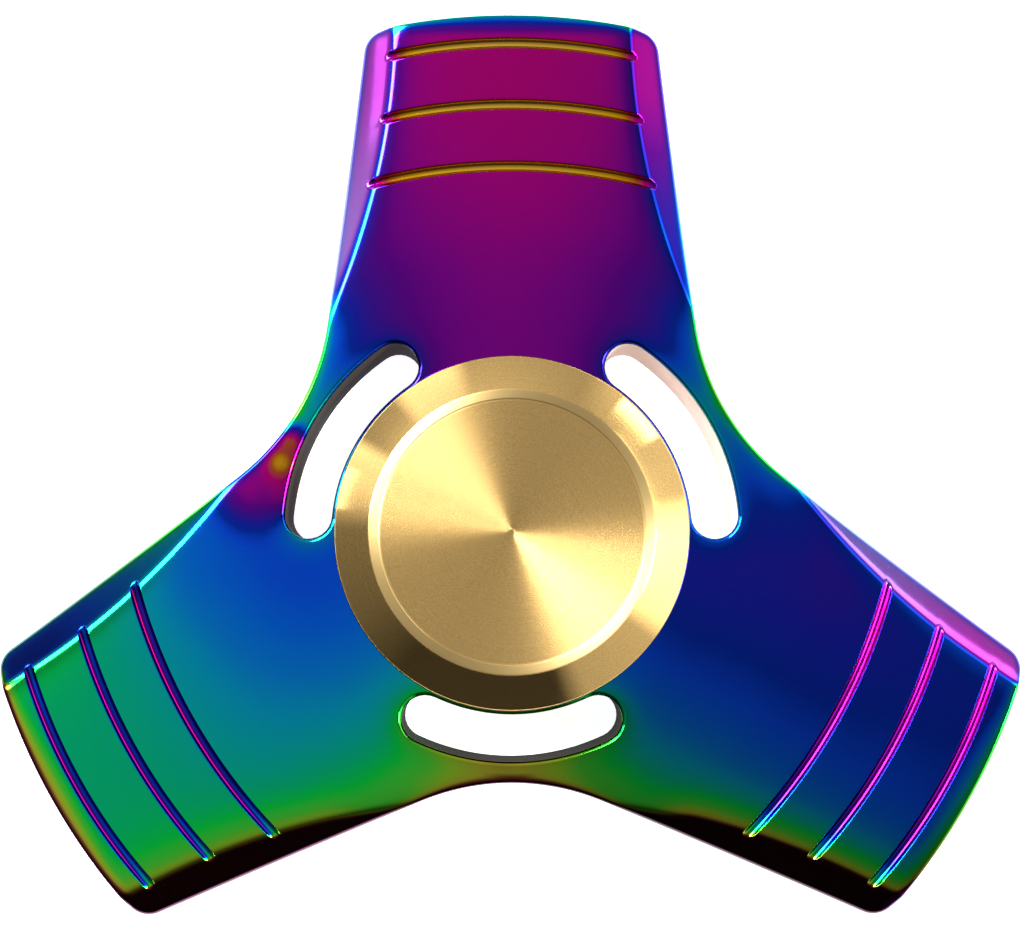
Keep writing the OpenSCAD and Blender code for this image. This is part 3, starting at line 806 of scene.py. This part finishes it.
# Steel in its several finishes. A ground race keeps faint rings, a pressed sheet is duller and
# slightly cloudy, and a ball is close to a perfect mirror.
def steelMaterial(name, colour, low, high, ringScale, cloudScale):
    made, tree, shader = newMaterial(name)
    place = addNode(tree, "ShaderNodeTexCoord")
    flat = addNode(tree, "ShaderNodeVectorMath", {0: place.outputs["Object"], 1: (1, 1, 0)},
                   operation="MULTIPLY")
    reach = addNode(tree, "ShaderNodeVectorMath", {0: flat.outputs[0]}, operation="LENGTH")
    rings = addNode(tree, "ShaderNodeTexNoise", {"W": reach.outputs["Value"], "Scale": ringScale,
                    "Detail": 3.0}, noise_dimensions="1D")
    cloud = addNode(tree, "ShaderNodeTexNoise", {"Vector": place.outputs["Object"], "Scale": cloudScale,
                    "Detail": 4.0})
    mixed = addNode(tree, "ShaderNodeMath", {0: rings.outputs["Fac"], 1: cloud.outputs["Fac"]},
                    operation="MULTIPLY")
    tone = addNode(tree, "ShaderNodeMix", {"Factor": mixed.outputs[0], 6: linear(colour),
                   7: linear("#E9EAEC")}, data_type="RGBA")
    shader.inputs["Metallic"].default_value = 1.0
    tree.links.new(tone.outputs[2], shader.inputs["Base Color"])
    rough = addNode(tree, "ShaderNodeMapRange", {"Value": cloud.outputs["Fac"], "To Min": low,
                    "To Max": high})
    tree.links.new(rough.outputs[0], shader.inputs["Roughness"])
    return made


raceSteel = steelMaterial("ground bearing steel", "#B4B6BA", 0.16, 0.30, 6000, 400)
ballSteel = steelMaterial("lapped ball steel", "#D0D2D6", 0.03, 0.07, 900, 300)
sheetSteel = steelMaterial("pressed sheet steel", "#A3A4A6", 0.26, 0.42, 2500, 900)
sleeveSteel = steelMaterial("turned steel", "#A9ABB0", 0.20, 0.34, 9000, 500)
nodeFinish = {"race": raceSteel, "ball": ballSteel, "cage": sheetSteel, "shield": sheetSteel,
              "shield_ring": sleeveSteel, "sleeve": sleeveSteel}
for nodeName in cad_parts:
    target = bpy.data.objects.get(nodeName)
    isMesh = target is not None and target.type == "MESH"
    for word, finish in nodeFinish.items():
        if isMesh and word in nodeName:
            for slot in target.material_slots:
                slot.material = finish
spinner.data.materials.append(rainbowMaterial())
brassFinish = brassMaterial()
capUpper.data.materials.append(brassFinish)
capLower.data.materials.append(brassFinish)
print("materials made")


stage = {"paperDark": "#F1F1F1", "paperLight": "#F8F8F8", "glow": 0.85,
         "floorSize": 3.0, "floorZ": cadBox[0][2]}


# the floor: a wide flat grid at the height of the lower cap
def floorObject():
    side = np.linspace(-stage["floorSize"] / 2, stage["floorSize"] / 2, 9) / mm
    x, y = np.meshgrid(side, side)
    points = np.stack([x, y, np.full_like(x, stage["floorZ"] / mm)], -1).reshape(-1, 3)
    return weldedObject("floor", [(points, gridFaces(9, 9))])


floor = floorObject()
floorFinish, floorTree, floorShader = newMaterial("matt white paper")
paper = addNode(floorTree, "ShaderNodeTexCoord")
grain = addNode(floorTree, "ShaderNodeTexNoise", {"Vector": paper.outputs["Object"], "Scale": 900.0,
                "Detail": 3.0})
tint = addNode(floorTree, "ShaderNodeMix", {"Factor": grain.outputs["Fac"], 6: linear(stage["paperDark"]),
               7: linear(stage["paperLight"])}, data_type="RGBA")
floorTree.links.new(tint.outputs[2], floorShader.inputs["Base Color"])
floorShader.inputs["Roughness"].default_value = 0.9
floorShader.inputs["Emission Color"].default_value = linear("#FFFFFF")
floorShader.inputs["Emission Strength"].default_value = stage["glow"]
floor.data.materials.append(floorFinish)


# a square soft light at a compass angle (0 is +X, 90 is +Y) and height angle, aimed at the hub
def softLight(name, azimuth, elevation, distance, width, height, watts):
    lamp = bpy.data.lights.new(name, "AREA")
    lamp.shape, lamp.size, lamp.size_y, lamp.energy = "RECTANGLE", width, height, watts
    holder = bpy.data.objects.new(name, lamp)
    a, e = math.radians(azimuth), math.radians(elevation)
    holder.location = (distance * math.cos(e) * math.cos(a), distance * math.cos(e) * math.sin(a),
                       distance * math.sin(e))
    holder.rotation_euler = (math.pi / 2 - e, 0, a + math.pi / 2)
    bpy.context.scene.collection.objects.link(holder)
    return holder


# each lamp's compass angle, height angle, distance, width and height in metres, and watts
lamps = {
    "key": (131, 52, 0.60, 0.24, 0.24, 10.5),
    "left ridge": (163, 48, 0.60, 0.09, 0.30, 2.2),
    "right": (352, 42, 0.60, 0.18, 0.16, 4.0),
    "low left": (163, 12, 0.50, 0.12, 0.07, 0.07),
    "groove": (28, 33, 0.50, 0.26, 0.14, 0.30),
    "low right": (43, 12, 0.50, 0.14, 0.07, 0.16),
}
for lampName, values in lamps.items():
    softLight(lampName + " light", *values)
print(len(lamps), "lamps placed")

# the room: soft grey overhead, and low down a belt that is bright or dark by compass angle
room = {"overhead": 0.51, "lean": (-0.66, 0.49, 0.0), "beltTop": 4.0, "climb": (0, 0.35, 0.9),
        "climbLow": 0.40, "climbHigh": 0.80, "least": 0.1,
        "belt": [(0, 3.8), (8, 3.4), (15, 1.3), (30, 1.2), (55, 1.2), (65, 0.6), (104, 0.7), (110, 2.4),
                 (126, 2.2), (131, 0.5), (145, 0.5), (149, 2.2), (158, 1.6), (168, 0.9), (176, 0.3),
                 (205, 0.20), (230, 0.06), (288, 0.06), (297, 0.7), (325, 0.9), (333, 2.8), (360, 3.8)]}
world = bpy.data.worlds.new("studio room")
bpy.context.scene.world = world
world.use_nodes = True
sky = world.node_tree
sky.nodes.clear()
way = addNode(sky, "ShaderNodeTexCoord")
axes = addNode(sky, "ShaderNodeSeparateXYZ", {0: way.outputs["Generated"]})
compass = addNode(sky, "ShaderNodeMath", {0: axes.outputs[1], 1: axes.outputs[0]}, operation="ARCTAN2")
turn = addNode(sky, "ShaderNodeMath", {0: compass.outputs[0], 1: 2 * math.pi}, operation="DIVIDE")
around = addNode(sky, "ShaderNodeMath", {0: turn.outputs[0], 1: 1.0, 2: 0.0}, operation="WRAP")
belt = addNode(sky, "ShaderNodeFloatCurve", {"Value": around.outputs[0]})
beltCurve = belt.mapping.curves[0]
places = [(a / 360, v / room["beltTop"]) for a, v in room["belt"]]
beltCurve.points[0].location, beltCurve.points[1].location = places[0], places[-1]
for spot in places[1:-1]:
    beltCurve.points.new(*spot)
for point in beltCurve.points:
    point.handle_type = "VECTOR"
belt.mapping.update()
beltLight = addNode(sky, "ShaderNodeMath", {0: belt.outputs[0], 1: room["beltTop"]}, operation="MULTIPLY")
height = addNode(sky, "ShaderNodeVectorMath", {0: way.outputs["Generated"], 1: room["climb"]},
                 operation="DOT_PRODUCT")
climb = addNode(sky, "ShaderNodeMapRange", {"Value": height.outputs["Value"], "From Min": room["climbLow"],
                "From Max": room["climbHigh"]},
                interpolation_type="SMOOTHSTEP")
lean = addNode(sky, "ShaderNodeVectorMath", {0: way.outputs["Generated"], 1: room["lean"]},
               operation="DOT_PRODUCT")
top = addNode(sky, "ShaderNodeMath", {0: lean.outputs["Value"], 1: room["overhead"]}, operation="ADD")
ceiling = addNode(sky, "ShaderNodeMath", {0: top.outputs[0], 1: room["least"]}, operation="MAXIMUM")
light = addNode(sky, "ShaderNodeMix", {0: climb.outputs[0], 2: beltLight.outputs[0], 3: ceiling.outputs[0]},
                data_type="FLOAT")
back = addNode(sky, "ShaderNodeBackground", {"Color": (1, 1, 1, 1), "Strength": light.outputs[0]})
addNode(sky, "ShaderNodeOutputWorld", {"Surface": back.outputs[0]})

bpy.context.scene.view_settings.view_transform = "Standard"
# the camera looks almost straight down: place in mm, tip in radians, lens and sensor in mm
view = {"place": (-1.44, -5.42, 148.7), "tip": (0.066, -0.010, 0.0), "lens": 77.0, "sensor": 36.0}
eye = bpy.data.cameras.new("camera")
eye.lens, eye.sensor_width, eye.clip_start, eye.clip_end = view["lens"], view["sensor"], 0.01, 10.0
camera = bpy.data.objects.new("camera", eye)
camera.location = [part * mm for part in view["place"]]
camera.rotation_euler = view["tip"]
bpy.context.scene.collection.objects.link(camera)
bpy.context.scene.camera = camera
print("camera placed")
